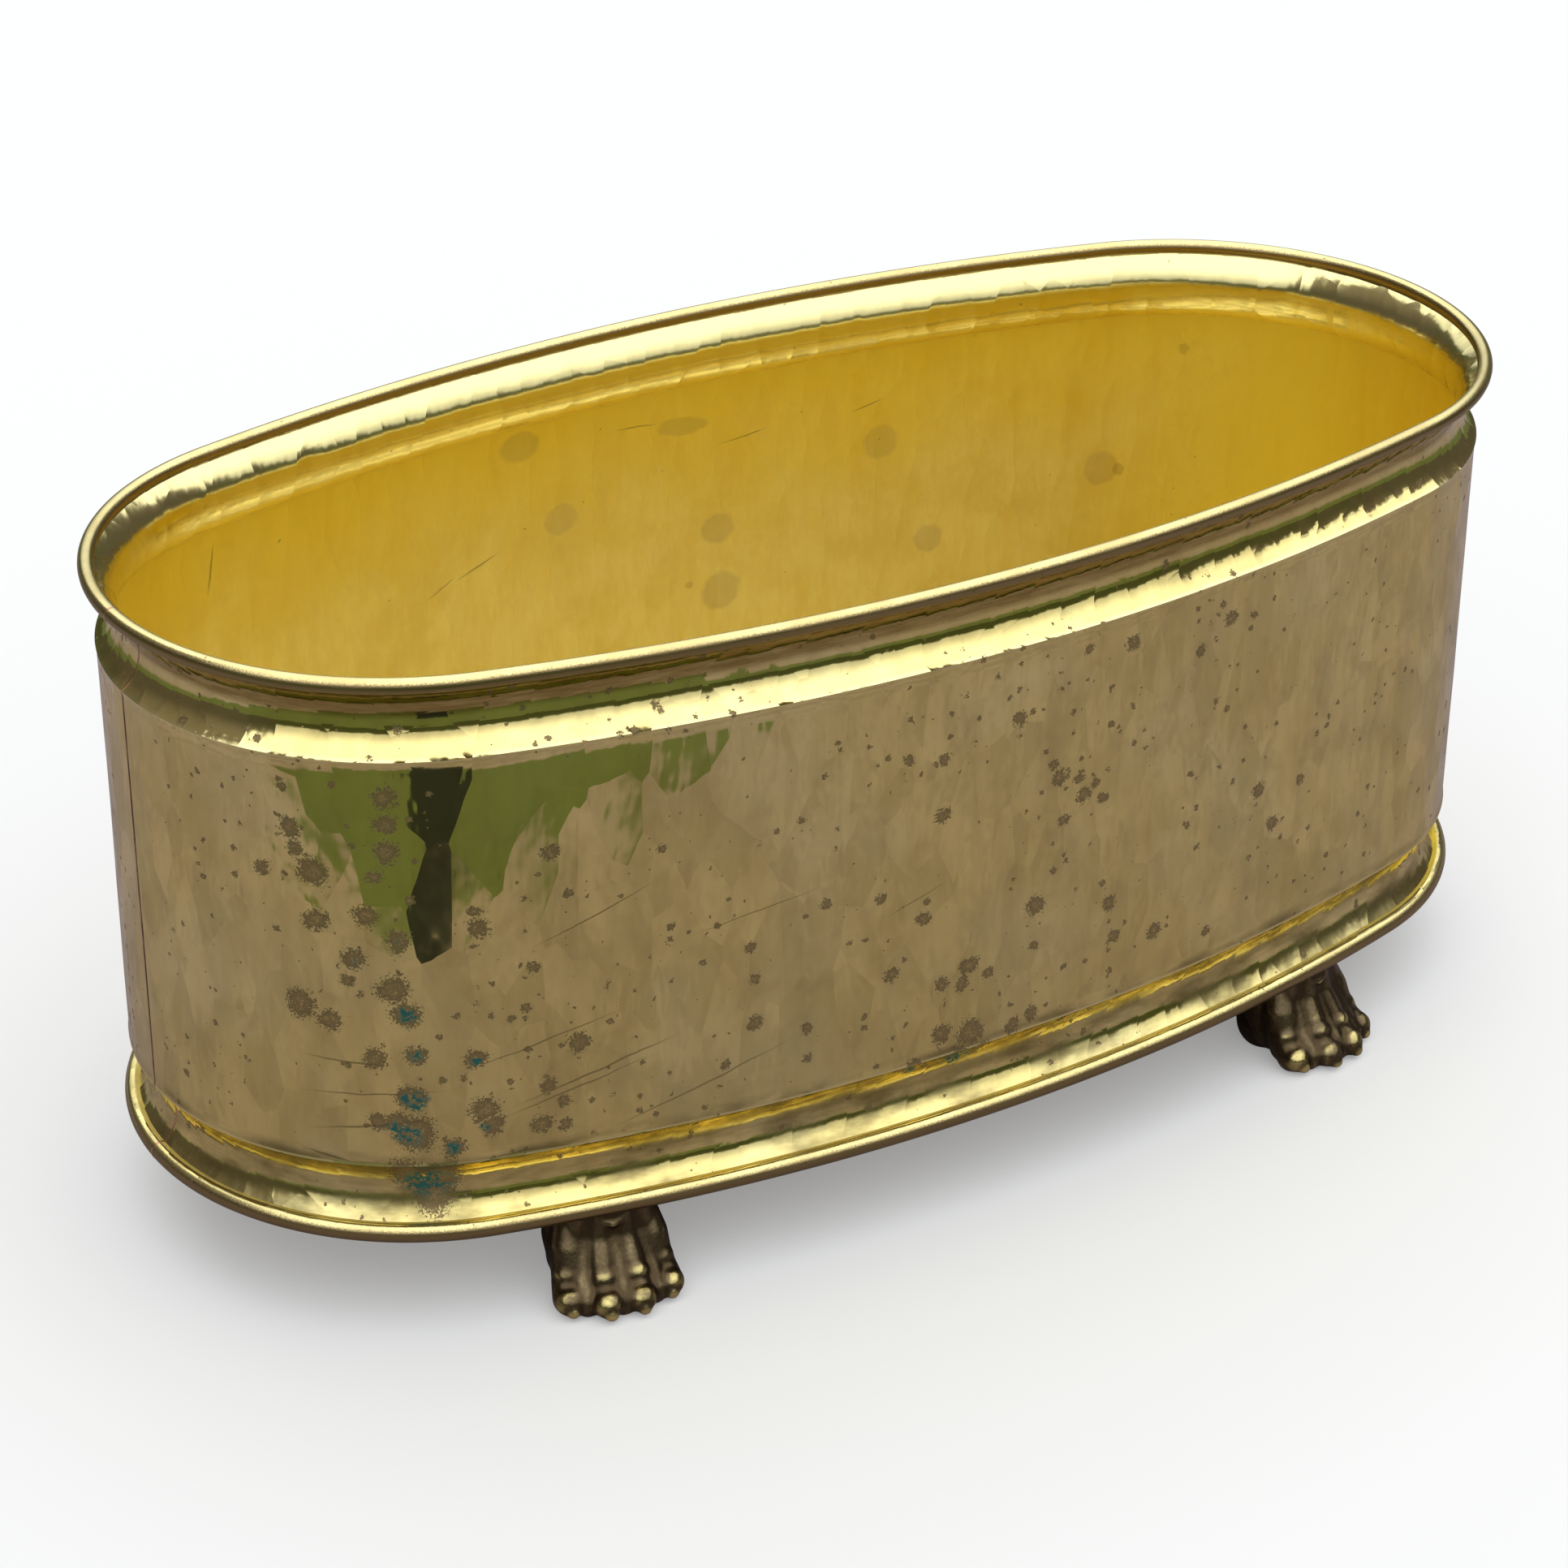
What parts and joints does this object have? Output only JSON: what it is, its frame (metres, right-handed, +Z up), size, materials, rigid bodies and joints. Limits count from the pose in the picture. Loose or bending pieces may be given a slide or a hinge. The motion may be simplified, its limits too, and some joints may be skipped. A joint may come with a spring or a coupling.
{
  "type": "oval brass planter pot",
  "caption": "Oval hammered brass planter with swaged grooves, wired rim and base beads, a soldered bottom plate and cast lion-paw feet held by screws.",
  "frame": {"origin": "on the ground, under the middle of the pot, level with the soles of the paws", "axes": "+Z up; +X along the long way of the oval, towards the right seen from the front; -Y towards the front"},
  "size_m": [0.4028, 0.1932, 0.1816],
  "materials": {
    "hammered_brass": "planished and polished, worn, with brown oxide spots",
    "plate_brass": "dull rolled sheet",
    "cast_brass": "cast, tarnished brown in the hollows and rubbed bright on the high points",
    "screw_brass": "turned, dulled",
    "braze": "brazing alloy, filed flush",
    "solder": "dull grey soft solder",
    "edge_wire": "drawn iron wire"
  },
  "bodies": {
    "root": {"body_shell": "hammered_brass", "seam_braze": "braze", "rim_wire": "edge_wire", "base_wire": "edge_wire", "base_plate": "plate_brass", "plate_solder": "solder", "front_left_foot": "cast_brass", "front_right_foot": "cast_brass", "rear_left_foot": "cast_brass", "rear_right_foot": "cast_brass", "front_left_screw": "screw_brass", "front_right_screw": "screw_brass", "rear_left_screw": "screw_brass", "rear_right_screw": "screw_brass", "front_left_washer": "screw_brass", "front_right_washer": "screw_brass", "rear_left_washer": "screw_brass", "rear_right_washer": "screw_brass"}
  },
  "joints": []
}
